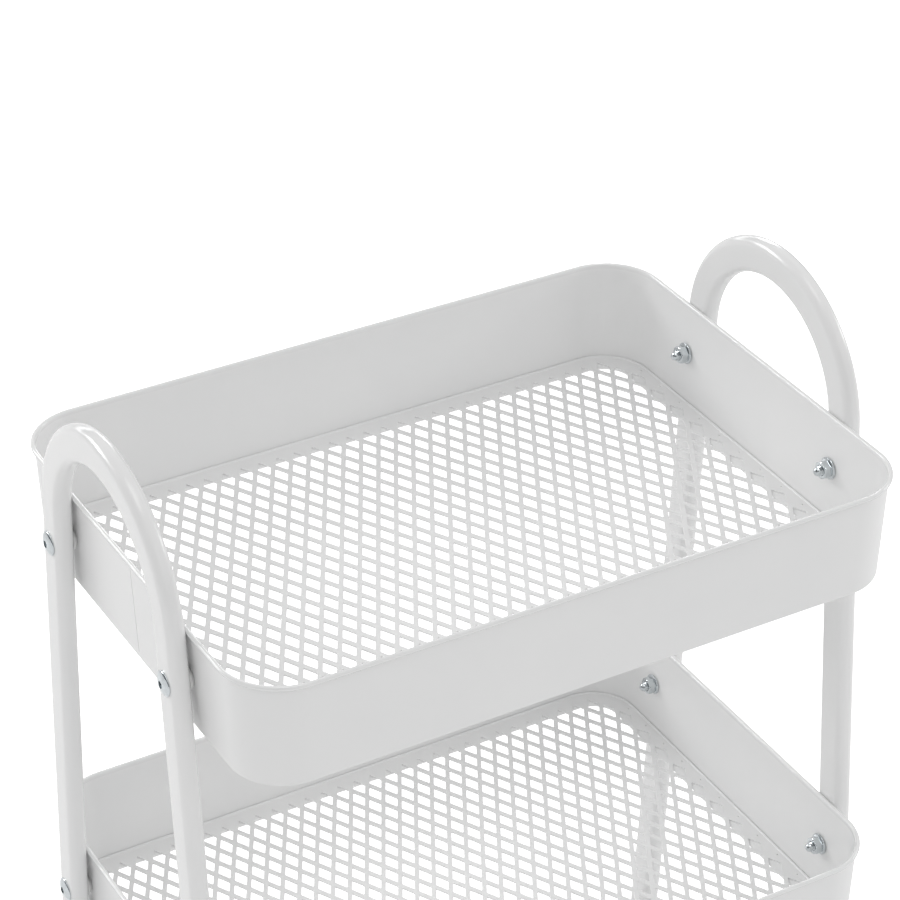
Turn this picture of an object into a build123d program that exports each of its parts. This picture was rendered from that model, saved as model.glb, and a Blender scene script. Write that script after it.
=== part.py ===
from build123d import *
import math
import os

# Three-tier rolling utility cart, millimetres.
# +Z up, X along the baskets, Y across them. The origin is on the floor, under the middle of the cart.

# ---------------------------------------------------------------- overall
HEIGHT = 780.0            # top of the handles above the floor
RIM_Z = (706.0, 438.6, 169.0)   # top of each basket's rim: top, middle, bottom
TIERS = ("top", "middle", "bottom")

# ---------------------------------------------------------------- baskets
RIM_L = 416.0             # length over the rim's inner edge
RIM_W = 304.0             # width over the rim's inner edge
RIM_R = 35.0              # plan corner radius at that edge
BASKET_H = 67.5           # rim to underside
SHEET = 1.0               # wall sheet
BEAD_R = 1.5              # rolled rim, radius of the roll
BEAD_U = 0.55             # roll centre, outwards from the rim's inner edge
WALL_TOP_U = -0.95        # wall's inner face under the roll
WALL_FOOT_U = -2.5        # wall's outer face at the underside
FLANGE = 14.3             # inward flange under the floor sheet

# ---------------------------------------------------------------- expanded-metal floor
FLOOR_T = 0.8             # sheet
FLOOR_IN = 4.0            # sheet's edge, inwards from the rim's inner edge
MESH_SX = 12.05           # short way of a mesh, along X
MESH_LY = 22.2            # long way of a mesh, along Y
MESH_STRAND = 2.7         # strand width
MESH_X0 = 0.9             # centre of one opening
MESH_Y0 = -1.0
MESH_MARGIN = 3.2         # solid border kept inside the sheet's edge

# ---------------------------------------------------------------- end frames
TUBE_W = 22.0             # tube across, in the plane of the frame
TUBE_T = 11.6             # tube thickness, along X
TUBE_R = 5.0              # tube's corner radius
TUBE_WALL = 1.2
FRAME_X = 215.9           # plane of the frame's centreline
SPLAY = 0.075             # outward run of a leg per unit of drop
LEG_Y = 76.0              # half spacing of the legs at the top screws
SCREW_DROP = 33.0         # screws below each rim
LEG_END = 66.0            # height of the tube's cut end
KNEE_Z = 92.0             # height where the leg turns upright
KNEE_R = 100.0

# ---------------------------------------------------------------- screws
BOLT_D = 6.0
HOLE_D = 6.5
HEAD_D = 14.8
HEAD_H = 2.8
SOCKET_AF = 4.0
NUT_AF = 10.0
NUT_H = 6.0
NUT_FLANGE_D = 13.6
NUT_FLANGE_T = 1.3
BOLT_TIP = 4.4            # rounded end past the nut
SPACER_D = 16.0
CORNER_SINK = (0.0, 0.0, 0.65)  # how far each tier's nuts sit inwards where the wall starts to turn: top, middle, bottom

# ---------------------------------------------------------------- casters
TRAIL = 18.0              # wheel axle behind the swivel axis
WHEEL_D = 50.0
WHEEL_W = 18.0
HUB_D = 34.0
AXLE_D = 6.0
RUN = 0.05                # radial running clearance
FORK_IN = 10.0            # fork plate's inner face from the wheel's middle
FORK_T = 2.0
PLATE_Z = (53.5, 56.0)    # fork's crown plate
CUP_Z = 60.5              # top of the bearing cup
STEM_COLLAR = (61.0, 63.0)
PLUG_COLLAR = (63.0, 66.0)
JOURNAL_D = 8.0
BALL_D = 3.0
BALL_PCD = 16.4
BALLS = 12
LEVER_PIN = (36.0, 52.5)  # brake lever's pin: behind the swivel axis, above the floor
LEVER_PIN_D = 3.0

os.makedirs("parts", exist_ok=True)
NODES = {}


def save(name, shape):
    """Keeps one node and writes its file."""
    shape.label = name
    NODES[name] = shape
    export_step(shape, f"parts/{name}.step")


def one(shape):
    """The only solid of a shape, or the shape itself."""
    s = shape.solids()
    return s[0] if len(s) == 1 else Compound(children=list(s))


def group(shapes):
    """Identical pieces that share a node."""
    return Compound(children=[one(s) for s in shapes])


def box(x0, x1, y0, y1, z0, z1):
    return Pos((x0 + x1) / 2, (y0 + y1) / 2, (z0 + z1) / 2) * Box(x1 - x0, y1 - y0, z1 - z0)


def rod(d, a, b, axis):
    """A cylinder of diameter d along an axis through the origin, from a to b."""
    c = Cylinder(d / 2, b - a, align=(Align.CENTER, Align.CENTER, Align.MIN))
    if axis == "z":
        return Pos(0, 0, a) * c
    if axis == "x":
        return Pos(a, 0, 0) * (Rot(0, 90, 0) * c)
    return Pos(0, a, 0) * (Rot(-90, 0, 0) * c)


# ================================================================ basket wall
def wall_u(z, outer):
    """The wall's face at height z below the rim (z negative), outwards from the rim's inner edge."""
    top = WALL_TOP_U + (SHEET if outer else 0.0)
    foot = WALL_FOOT_U - (0.0 if outer else SHEET)
    k = (foot - top) / (-BASKET_H + BEAD_R)
    return top + k * (z + BEAD_R)


def bead_meets_wall():
    """Where the roll comes back to the wall's outer face."""
    lo, hi = -2 * BEAD_R, -BEAD_R
    for _ in range(60):
        m = (lo + hi) / 2
        d = math.hypot(wall_u(m, True) - BEAD_U, m + BEAD_R)
        if d > BEAD_R:
            lo = m
        else:
            hi = m
    return (wall_u(lo, True), lo)


def wall_section():
    """The band's section: u outwards from the rim's inner edge, z up from the rim's top."""
    end = bead_meets_wall()
    a1 = math.atan2(end[1] + BEAD_R, end[0] - BEAD_U)
    am = (math.pi + a1) / 2
    mid = (BEAD_U + BEAD_R * math.cos(am), -BEAD_R + BEAD_R * math.sin(am))
    foot_in = WALL_FOOT_U - FLANGE
    start = (BEAD_U - BEAD_R, -BEAD_R)
    with BuildLine() as ln:
        Polyline(
            end,
            (WALL_FOOT_U, -BASKET_H),
            (foot_in, -BASKET_H),
            (foot_in, -BASKET_H + SHEET),
            (wall_u(-BASKET_H + SHEET, False), -BASKET_H + SHEET),
            start,
        )
        ThreePointArc(start, mid, end)
    return make_face(ln.line)


def band(section, rim_z):
    """Carries a section round the basket's rounded rectangle: four straight runs and four quarter turns."""
    hx, hy = RIM_L / 2 - RIM_R, RIM_W / 2 - RIM_R
    out = None
    for i, (sx, sy) in enumerate(((1, 1), (-1, 1), (-1, -1), (1, -1))):
        turn = Plane(origin=(sx * hx, sy * hy, rim_z), x_dir=(math.cos(i * math.pi / 2), math.sin(i * math.pi / 2), 0),
                     z_dir=(math.sin(i * math.pi / 2), -math.cos(i * math.pi / 2), 0))
        face = turn * (Pos(RIM_R, 0) * section)
        corner = revolve(face, Axis((sx * hx, sy * hy, rim_z), (0, 0, 1)), 90)
        length = 2 * (hx if i % 2 == 0 else hy)
        # the straight run that follows this corner
        j = i + 1
        turn2 = Plane(origin=(sx * hx, sy * hy, rim_z), x_dir=(math.cos(j * math.pi / 2), math.sin(j * math.pi / 2), 0),
                      z_dir=(math.sin(j * math.pi / 2), -math.cos(j * math.pi / 2), 0))
        run_face = turn2 * (Pos(RIM_R, 0) * section)
        d = (-math.sin(j * math.pi / 2), math.cos(j * math.pi / 2), 0)
        straight = extrude(run_face, amount=length, dir=d)
        piece = corner + straight
        out = piece if out is None else out + piece
    return out


def leg_y(z):
    """Centreline of the splayed part of a leg."""
    return LEG_Y + SPLAY * (RIM_Z[0] - SCREW_DROP - z)


def screw_points():
    """Each tier's four screw axes: side of the cart along X, y and z."""
    out = {}
    for name, rim in zip(TIERS, RIM_Z):
        z = rim - SCREW_DROP
        out[name] = [(sx, sy * leg_y(z), z) for sx in (-1, 1) for sy in (-1, 1)]
    return out


SCREWS = screw_points()
section = wall_section()
for name, rim in zip(TIERS, RIM_Z):
    wall = band(section, rim)
    for sx, y, z in SCREWS[name]:
        hole = Pos(0, y, z) * rod(HOLE_D, 180.0, 215.0, "x")
        if sx < 0:
            hole = mirror(hole, about=Plane.YZ)
        wall = wall - hole
    save(f"{name}_basket_wall", one(wall))

# ================================================================ floor sheet
half_x, half_y = RIM_L / 2 - FLOOR_IN, RIM_W / 2 - FLOOR_IN
floor_r = RIM_R - FLOOR_IN
spacing = 1.0 / math.hypot(1 / MESH_SX, 1 / MESH_LY)
open_share = 1.0 - MESH_STRAND / spacing
ox, oy = MESH_SX / 2 * open_share, MESH_LY / 2 * open_share


def inside(x, y, m):
    """Whether a point is inside the sheet by at least m."""
    ax, ay = abs(x), abs(y)
    if ax > half_x - m or ay > half_y - m:
        return False
    cx, cy = half_x - floor_r, half_y - floor_r
    if ax > cx and ay > cy:
        return math.hypot(ax - cx, ay - cy) <= floor_r - m
    return True


openings = []
for i in range(-40, 41):
    for j in range(-20, 21):
        if (i + j) % 2:
            continue
        cx, cy = MESH_X0 + i * MESH_SX / 2, MESH_Y0 + j * MESH_LY / 2
        tips = [(cx + ox, cy), (cx, cy + oy), (cx - ox, cy), (cx, cy - oy)]
        if all(inside(px, py, MESH_MARGIN) for px, py in tips):
            openings.append(tips)
with BuildSketch() as sk:
    RectangleRounded(2 * half_x, 2 * half_y, floor_r)
outline = sk.sketch.faces()[0].outer_wire()
holes = [Wire.make_polygon([Vector(px, py, 0) for px, py in tips], close=True) for tips in openings]
sheet = Face(outline, holes)
for name, rim in zip(TIERS, RIM_Z):
    z = rim - BASKET_H + SHEET
    floor = extrude(Pos(0, 0, z) * sheet, amount=FLOOR_T, dir=(0, 0, 1))
    save(f"{name}_basket_floor", one(floor))

# ================================================================ end frames
theta = math.atan(SPLAY)
k0 = LEG_Y + SPLAY * (RIM_Z[0] - SCREW_DROP)          # leg_y at z = 0
crest = HEIGHT - TUBE_W / 2                             # centreline of the handle's top
# the handle's arc is tangent to both legs: radius = cos(theta) * leg_y(crest - radius)
ARCH_R = math.cos(theta) * (k0 - SPLAY * crest) / (1 - math.cos(theta) * SPLAY)
ARCH_Z = crest - ARCH_R
FOOT_Y = k0 - SPLAY * KNEE_Z                            # upright end of the leg


def frame_path(x):
    t = KNEE_R * math.tan(theta / 2)
    sy, cy = math.sin(theta), math.cos(theta)
    pts = {}
    for s in (1, -1):
        a = (x, s * FOOT_Y, LEG_END)
        b = (x, s * FOOT_Y, KNEE_Z - t)
        c = (x, s * (FOOT_Y - t * sy), KNEE_Z + t * cy)
        # middle of the knee's arc
        ctr = (FOOT_Y - KNEE_R, KNEE_Z - t)
        m = (x, s * (ctr[0] + KNEE_R * math.cos(theta / 2)), ctr[1] + KNEE_R * math.sin(theta / 2))
        d = (x, s * ARCH_R * cy, ARCH_Z + ARCH_R * sy)
        pts[s] = (a, b, m, c, d)
    L, R = pts[1], pts[-1]
    edges = [
        Edge.make_line(L[0], L[1]),
        Edge.make_three_point_arc(L[1], L[2], L[3]),
        Edge.make_line(L[3], L[4]),
        Edge.make_three_point_arc(L[4], (x, 0, ARCH_Z + ARCH_R), R[4]),
        Edge.make_line(R[4], R[3]),
        Edge.make_three_point_arc(R[3], R[2], R[1]),
        Edge.make_line(R[1], R[0]),
    ]
    return Wire(edges), L[0]


def frame(x):
    path, start = frame_path(x)
    at = Plane(origin=start, x_dir=(0, 1, 0), z_dir=(0, 0, 1))
    outer = at * RectangleRounded(TUBE_W, TUBE_T, TUBE_R)
    inner = at * RectangleRounded(TUBE_W - 2 * TUBE_WALL, TUBE_T - 2 * TUBE_WALL, TUBE_R - TUBE_WALL)
    tube = sweep(outer - inner, path=path)
    return tube


for name, sx in (("left", -1), ("right", 1)):
    tube = frame(sx * FRAME_X)
    for tier in TIERS:
        for px, y, z in SCREWS[tier]:
            if px == sx:
                hole = Pos(0, y, z) * rod(HOLE_D, 200.0, 235.0, "x")
                if sx < 0:
                    hole = mirror(hole, about=Plane.YZ)
                tube = tube - hole
    save(f"{name}_end_frame", one(tube))

# ================================================================ screws
leg_out = FRAME_X + TUBE_T / 2
leg_in = FRAME_X - TUBE_T / 2
low_in = RIM_L / 2 + wall_u(-SCREW_DROP - NUT_FLANGE_D / 2, False)
nut_face = low_in - 0.02


def bolt(face):
    """Mushroom-head bolt along +X, head outside, its nut bearing at face; modelled for the +X end."""
    tip = face - NUT_H - BOLT_TIP
    end = Pos(tip + 3.0, 0, 0) * Sphere(BOLT_D / 2)
    end = end & box(tip - 1, tip + 3.0, -5, 5, -5, 5)
    shank = rod(BOLT_D, tip + 3.0, leg_out, "x") + end
    # domed head: a ball's cap over a short rim
    rim_t = 0.7
    cap_h = HEAD_H - rim_t
    ball = (HEAD_D**2 / 4 + cap_h**2) / (2 * cap_h)
    cap = Pos(leg_out + HEAD_H - ball, 0, 0) * Sphere(ball)
    cap = cap & (rod(HEAD_D, leg_out + rim_t, leg_out + HEAD_H + 1, "x"))
    head = rod(HEAD_D, leg_out, leg_out + rim_t, "x") + cap
    body = shank + head
    hexa = Plane(origin=(leg_out + HEAD_H + 1, 0, 0), x_dir=(0, 1, 0), z_dir=(-1, 0, 0)) * RegularPolygon(SOCKET_AF / 2, 6, major_radius=False)
    return body - extrude(hexa, amount=1 + 2.3)


def flange_nut(face):
    """Hexagon nut with a round flange against the basket's wall at face."""
    flange = rod(NUT_FLANGE_D, face - NUT_FLANGE_T, face, "x")
    hexa = Plane(origin=(face - 0.5, 0, 0), x_dir=(0, 1, 0), z_dir=(-1, 0, 0)) * RegularPolygon(NUT_AF / 2, 6, major_radius=False)
    body = extrude(hexa, amount=NUT_H - 0.5)
    # rounded-off corners
    trim = rod(NUT_AF + 0.9, face - NUT_H, face, "x")
    return (body & trim) + flange - rod(BOLT_D + 2 * RUN, face - NUT_H - 1, face + 1, "x")


def spacer():
    """Round spacer between the leg and the sloping wall."""
    ring = rod(SPACER_D, RIM_L / 2 - 8, leg_in, "x")
    drop = -SCREW_DROP
    slope = (wall_u(-20, True) - wall_u(-40, True)) / 20
    top, low = RIM_L / 2 + wall_u(drop + 30, True), RIM_L / 2 + wall_u(drop - 30, True)
    # everything inside the wall's outer face is cut away
    with BuildLine(Plane.XZ) as ln:
        Polyline((RIM_L / 2 - 30, -30), (low, -30), (top, 30), (RIM_L / 2 - 30, 30), close=True)
    wedge = extrude(make_face(ln.line), amount=40, both=True)
    return ring - wedge - rod(HOLE_D, RIM_L / 2 - 10, leg_in + 1, "x")


SPACER = spacer()
for tier, sink in zip(TIERS, CORNER_SINK):
    for kind, shape in (("bolts", bolt(nut_face - sink)), ("flange_nuts", flange_nut(nut_face - sink)), ("spacers", SPACER)):
        made = []
        for sx, y, z in SCREWS[tier]:
            s = shape if sx > 0 else mirror(shape, about=Plane.YZ)
            made.append(Pos(0, y, z) * s)
        save(f"{tier}_{kind}", group(made))

# ================================================================ casters
# Modelled about the swivel axis with the wheel trailing along +X, then turned and placed.
def leg_plug():
    collar = Pos(0, 0, PLUG_COLLAR[0]) * extrude(RectangleRounded(TUBE_W, TUBE_T, TUBE_R), amount=PLUG_COLLAR[1] - PLUG_COLLAR[0])
    body = Pos(0, 0, PLUG_COLLAR[1]) * extrude(
        RectangleRounded(TUBE_W - 2 * TUBE_WALL - 0.1, TUBE_T - 2 * TUBE_WALL - 0.1, TUBE_R - TUBE_WALL - 0.05), amount=20.0
    )
    bore = rod(BOLT_D + 2 * RUN, PLUG_COLLAR[0] - 1, PLUG_COLLAR[1] + 18.5, "z")
    return collar + body - bore


def stem():
    s = rod(BOLT_D, STEM_COLLAR[1], STEM_COLLAR[1] + 20, "z")
    s += rod(15.0, STEM_COLLAR[0], STEM_COLLAR[1], "z")
    s += rod(JOURNAL_D, PLATE_Z[0] - 0.3, STEM_COLLAR[0], "z")
    s += rod(13.0, PLATE_Z[0] - 2.3, PLATE_Z[0] - 0.3, "z")
    return s


def fork():
    """Crown plate with two cheeks that carry the axle and, behind it, the lever's pin."""
    z0, z1 = PLATE_Z
    wide = FORK_IN + FORK_T
    with BuildSketch() as sk:
        RectangleRounded(2 * wide + 6, 2 * wide + 6, wide + 2.99)
        with Locations((TRAIL / 2 + 3, 0)):
            Rectangle(TRAIL + 6, 2 * wide)
    crown = Pos(0, 0, z0) * extrude(sk.sketch, amount=z1 - z0)
    with BuildSketch(Plane.XZ) as ch:
        with BuildLine():
            Polyline((-9, z1), (40.5, z1), (40.5, 50.5), (26.4, 24.0), (TRAIL, 17.5), (9.6, 24.0), (-9, 50.0), close=True)
        make_face()
        fillet(ch.vertices().sort_by(Axis.Z)[:3], 3.0)
    cheek = extrude(ch.sketch, amount=FORK_T / 2, both=True)
    cheeks = Pos(0, FORK_IN + FORK_T / 2, 0) * cheek + Pos(0, -FORK_IN - FORK_T / 2, 0) * cheek
    f = crown + cheeks
    f -= rod(JOURNAL_D + 2 * RUN, z0 - 1, z1 + 1, "z")
    f -= Pos(TRAIL, 0, WHEEL_D / 2) * rod(AXLE_D + 2 * RUN, -20, 20, "y")
    f -= Pos(LEVER_PIN[0], 0, LEVER_PIN[1]) * rod(LEVER_PIN_D + 2 * RUN, -20, 20, "y")
    return f


def bearing_cup():
    z = PLATE_Z[1]
    c = rod(26.0, z, CUP_Z, "z") - rod(23.4, z - 1, CUP_Z - 1.2, "z") - rod(JOURNAL_D + 1.4, z, CUP_Z + 1, "z")
    top = c.edges().filter_by(GeomType.CIRCLE).group_by(Axis.Z)[-1].sort_by(SortBy.RADIUS)[-1]
    return fillet([top], 1.0)


def balls():
    z = PLATE_Z[1] + BALL_D / 2 + 0.1
    out = []
    for i in range(BALLS):
        a = 2 * math.pi * i / BALLS
        out.append(Pos(BALL_PCD / 2 * math.cos(a), BALL_PCD / 2 * math.sin(a), z) * Sphere(BALL_D / 2))
    return out


def axle():
    e = FORK_IN + FORK_T
    a = rod(AXLE_D, -e - 1.6, e + 1.6, "y")
    for s in (1, -1):
        h = rod(10.0, e, e + 1.6, "y") if s > 0 else rod(10.0, -e - 1.6, -e, "y")
        a += h
    return Pos(TRAIL, 0, WHEEL_D / 2) * a


def hub():
    w = WHEEL_W / 2
    h = rod(HUB_D, -w, w, "y")
    # a dished face on each side leaves a web, a rim and a boss
    dish = rod(HUB_D - 5, 3.0, w + 1, "y") - rod(12.0, 3.0, w + 1, "y")
    h = h - dish - mirror(dish, about=Plane.XZ)
    h += rod(12.0, -w - 0.7, w + 0.7, "y")
    h -= rod(AXLE_D + 2 * RUN, -w - 2, w + 2, "y")
    return Pos(TRAIL, 0, WHEEL_D / 2) * h


def tyre():
    """Round-shouldered tread, revolved about the axle."""
    w, r0, r1 = WHEEL_W / 2, HUB_D / 2 + RUN, WHEEL_D / 2
    with BuildSketch(Plane.YZ) as sk:
        with BuildLine():
            Polyline((-w, r0), (w, r0), (w, r1 - 5.0))
            ThreePointArc((w, r1 - 5.0), (w - 1.9, r1 - 1.5), (w - 5.5, r1 - 0.15))
            ThreePointArc((w - 5.5, r1 - 0.15), (0, r1), (-w + 5.5, r1 - 0.15))
            ThreePointArc((-w + 5.5, r1 - 0.15), (-w + 1.9, r1 - 1.5), (-w, r1 - 5.0))
            Line((-w, r1 - 5.0), (-w, r0))
        make_face()
    t = revolve(sk.sketch, Axis.Y, 360)
    return Pos(TRAIL, 0, WHEEL_D / 2) * t


def lever():
    """Pedal and brake shoe in one moulding, tipping about its pin."""
    px, pz = LEVER_PIN[0], LEVER_PIN[1]
    with BuildSketch(Plane.XZ) as sk:
        with BuildLine():
            Polyline(
                (px - 3.0, pz + 2.6), (px + 4.0, pz + 3.0), (px + 19.0, pz - 0.5), (px + 19.0, pz - 3.5),
                (px + 5.0, pz - 3.2), (px + 1.2, pz - 7.5), (px - 2.4, pz - 7.0), (px - 4.0, pz - 2.0), close=True,
            )
        make_face()
        fillet(sk.vertices(), 0.8)
    mid = extrude(sk.sketch, amount=FORK_IN - 0.8, both=True)
    # the pedal widens behind the fork
    pedal = box(px + 9.0, px + 19.0, -13.0, 13.0, pz - 3.4, pz - 0.4)
    pedal = fillet(pedal.edges().filter_by(Axis.Z).sort_by(Axis.X)[-2:], 4.0)
    return mid + pedal - Pos(px, 0, pz) * rod(LEVER_PIN_D + 2 * RUN, -20, 20, "y")


def lever_pin():
    e = FORK_IN + FORK_T
    p = rod(LEVER_PIN_D, -e - 1.0, e + 1.0, "y") + rod(5.0, e, e + 1.0, "y") + rod(5.0, -e - 1.0, -e, "y")
    return Pos(LEVER_PIN[0], 0, LEVER_PIN[1]) * p


CORNERS = {"front_left": (-1, -1), "front_right": (1, -1), "rear_left": (-1, 1), "rear_right": (1, 1)}
PIECES = {
    "leg_plug": leg_plug(), "caster_stem": stem(), "caster_fork": fork(), "bearing_cup": bearing_cup(),
    "bearing_balls": balls(), "axle": axle(), "hub": hub(), "tyre": tyre(),
}
BRAKE = {"brake_lever": lever(), "brake_pin": lever_pin()}
BRAKED = ("front_left", "rear_right")   # one pair, across the cart
for corner, (sx, sy) in CORNERS.items():
    at = Pos(sx * FRAME_X, sy * FOOT_Y, 0)
    turned = at * Rot(0, 0, 90.0 * sy)
    for kind, shape in PIECES.items():
        if kind == "bearing_balls":
            save(f"{corner}_{kind}", group([turned * b for b in shape]))
        elif kind == "leg_plug":
            save(f"{corner}_{kind}", one(at * Rot(0, 0, 90) * shape))
        else:
            save(f"{corner}_{kind}", one(turned * shape))
    if corner in BRAKED:
        for kind, shape in BRAKE.items():
            save(f"{corner}_{kind}", one(turned * shape))

print("nodes", len(NODES))
print("arch radius", round(ARCH_R, 3), "arch centre z", round(ARCH_Z, 3), "foot y", round(FOOT_Y, 3))
print("openings in a floor", len(openings), "nut face x", round(nut_face, 3), "leg faces x", round(leg_in, 2), round(leg_out, 2))
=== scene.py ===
import bpy
import bmesh
import math
from mathutils import Matrix, Vector
from mathutils.geometry import delaunay_2d_cdt


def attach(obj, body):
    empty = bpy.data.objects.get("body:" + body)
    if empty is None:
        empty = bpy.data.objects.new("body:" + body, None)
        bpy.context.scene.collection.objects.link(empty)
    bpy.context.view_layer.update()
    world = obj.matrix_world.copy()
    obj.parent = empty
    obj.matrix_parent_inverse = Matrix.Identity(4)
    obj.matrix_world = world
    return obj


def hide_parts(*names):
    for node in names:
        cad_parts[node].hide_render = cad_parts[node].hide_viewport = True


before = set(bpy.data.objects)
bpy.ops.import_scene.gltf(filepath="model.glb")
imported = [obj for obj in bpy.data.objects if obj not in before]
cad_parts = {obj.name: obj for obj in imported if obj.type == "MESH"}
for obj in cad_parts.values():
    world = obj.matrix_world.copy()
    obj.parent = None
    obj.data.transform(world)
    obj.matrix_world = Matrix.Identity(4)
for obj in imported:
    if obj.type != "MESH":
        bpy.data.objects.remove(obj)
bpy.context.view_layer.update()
scene = bpy.context.scene

# Lengths below are millimetres in the row frame; add() turns them into metres.
TIERS = {"top": 706.0, "middle": 438.6, "bottom": 169.0}
CORNERS = {"front_left": (-1, -1), "front_right": (1, -1), "rear_left": (-1, 1), "rear_right": (1, 1)}
BRAKED = ("front_left", "rear_right")

RIM_L, RIM_W, RIM_R = 416.0, 304.0, 35.0
BASKET_H = 67.5
FRAME_X, TUBE_W, TUBE_T, TUBE_R, TUBE_WALL = 215.9, 22.0, 11.6, 5.0, 1.2
SPLAY, LEG_Y, SCREW_DROP = 0.075, 76.0, 33.0
LEG_END, KNEE_Z, KNEE_R, HEIGHT = 66.0, 92.0, 100.0, 780.0
THETA = math.atan(SPLAY)
K0 = LEG_Y + SPLAY * (TIERS["top"] - SCREW_DROP)
CREST = HEIGHT - TUBE_W / 2
ARCH_R = math.cos(THETA) * (K0 - SPLAY * CREST) / (1 - math.cos(THETA) * SPLAY)
ARCH_Z = CREST - ARCH_R
FOOT_Y = K0 - SPLAY * KNEE_Z
LEG_OUT, LEG_IN = FRAME_X + TUBE_T / 2, FRAME_X - TUBE_T / 2
NUT_FACE = {"top": 205.55, "middle": 205.55, "bottom": 204.90}


BANK, OVERHEAD = 6.5, 3.2      # strength of the bank of light behind and of the overhead softbox, in reflections


# ------------------------------------------------------------------ materials
class Mat:
    """A small helper for node materials."""

    def __init__(self, name):
        self.m = bpy.data.materials.new(name)
        self.m.use_nodes = True
        self.t = self.m.node_tree
        self.b = self.t.nodes["Principled BSDF"]
        self.co = self.t.nodes.new("ShaderNodeTexCoord").outputs["Object"]

    def n(self, kind, **values):
        node = self.t.nodes.new(kind)
        for k, v in values.items():
            if k in node.inputs:
                node.inputs[k].default_value = v
            else:
                setattr(node, k, v)
        return node

    def noise(self, scale, detail=3.0, rough=0.5, stretch=None):
        node = self.n("ShaderNodeTexNoise", Scale=scale, Detail=detail, Roughness=rough)
        src = self.co
        if stretch:
            mp = self.n("ShaderNodeMapping")
            mp.inputs["Scale"].default_value = stretch
            self.t.links.new(self.co, mp.inputs["Vector"])
            src = mp.outputs["Vector"]
        self.t.links.new(src, node.inputs["Vector"])
        return node.outputs["Fac"]

    def ramp(self, fac, lo, hi, a=0.3, b=0.7):
        """Grey values or colours from a noise."""
        r = self.n("ShaderNodeValToRGB")
        r.color_ramp.elements[0].position = a
        r.color_ramp.elements[1].position = b
        as_rgb = lambda v: (v, v, v, 1) if isinstance(v, float) else (*v, 1)
        r.color_ramp.elements[0].color = as_rgb(lo)
        r.color_ramp.elements[1].color = as_rgb(hi)
        self.t.links.new(fac, r.inputs["Fac"])
        return r.outputs["Color"]

    def span(self, fac, lo, hi, a=0.3, b=0.7):
        r = self.n("ShaderNodeMapRange")
        r.inputs["From Min"].default_value = a
        r.inputs["From Max"].default_value = b
        r.inputs["To Min"].default_value = lo
        r.inputs["To Max"].default_value = hi
        self.t.links.new(fac, r.inputs["Value"])
        return r.outputs["Result"]

    def math(self, op, x, y):
        node = self.n("ShaderNodeMath", operation=op)
        for i, v in enumerate((x, y)):
            if isinstance(v, (int, float)):
                node.inputs[i].default_value = v
            else:
                self.t.links.new(v, node.inputs[i])
        return node.outputs[0]

    def bump(self, height, strength, distance, below=None):
        node = self.n("ShaderNodeBump", Strength=strength, Distance=distance)
        self.t.links.new(height, node.inputs["Height"])
        if below is not None:
            self.t.links.new(below, node.inputs["Normal"])
        return node.outputs["Normal"]

    def set(self, name, value):
        sock = self.b.inputs[name]
        if isinstance(value, (int, float)):
            sock.default_value = value
        elif isinstance(value, tuple):
            sock.default_value = (*value, 1) if len(value) == 3 else value
        else:
            self.t.links.new(value, sock)
        return self


def powder_coat(name, lo, hi, rough):
    """Satin white powder coat: fine orange peel over a faint unevenness."""
    m = Mat(name)
    m.set("Base Color", m.ramp(m.noise(9.0, 4.0, 0.55), lo, hi, 0.35, 0.65))
    m.set("Roughness", m.span(m.noise(60.0, 3.0), *rough))
    peel = m.noise(620.0, 2.0, 0.45)
    wave = m.noise(95.0, 2.0, 0.4)
    m.set("Normal", m.bump(peel, 0.10, 0.0002, m.bump(wave, 0.05, 0.0006)))
    m.set("IOR", 1.5)
    return m.m


def zinc(name, tint, lo=0.11, hi=0.24):
    """Bright zinc plate: clear with a cool cast, fine wipe marks and cloudier patches."""
    m = Mat(name)
    dark = tuple(c * 0.84 for c in tint)
    m.set("Base Color", m.ramp(m.noise(240.0, 4.0, 0.6), dark, tint, 0.35, 0.65))
    m.set("Metallic", 1.0)
    m.set("Roughness", m.span(m.noise(420.0, 4.0), lo, hi))
    marks = m.noise(900.0, 3.0, 0.6, stretch=(1.0, 1.0, 0.12))
    m.set("Normal", m.bump(marks, 0.06, 0.0001))
    return m.m


def moulded(name, lo, hi, rough=(0.42, 0.52), grain=1500.0, depth=0.10):
    """Moulded plastic with a fine spark-eroded grain."""
    m = Mat(name)
    m.set("Base Color", m.ramp(m.noise(35.0, 3.0), lo, hi, 0.35, 0.65))
    m.set("Roughness", m.span(m.noise(120.0, 3.0), *rough))
    m.set("Normal", m.bump(m.noise(grain, 2.0, 0.5), depth, 0.00012))
    m.set("IOR", 1.5)
    return m.m


def rubber(name, lo, hi):
    """Grey tread: dull, faintly mottled, with a dusty bloom and fine moulding texture."""
    m = Mat(name)
    m.set("Base Color", m.ramp(m.noise(70.0, 5.0, 0.6), lo, hi, 0.35, 0.65))
    m.set("Roughness", m.span(m.noise(260.0, 4.0), 0.58, 0.78))
    m.set("Normal", m.bump(m.noise(1100.0, 3.0, 0.6), 0.18, 0.0002))
    m.set("IOR", 1.5)
    return m.m


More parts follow.
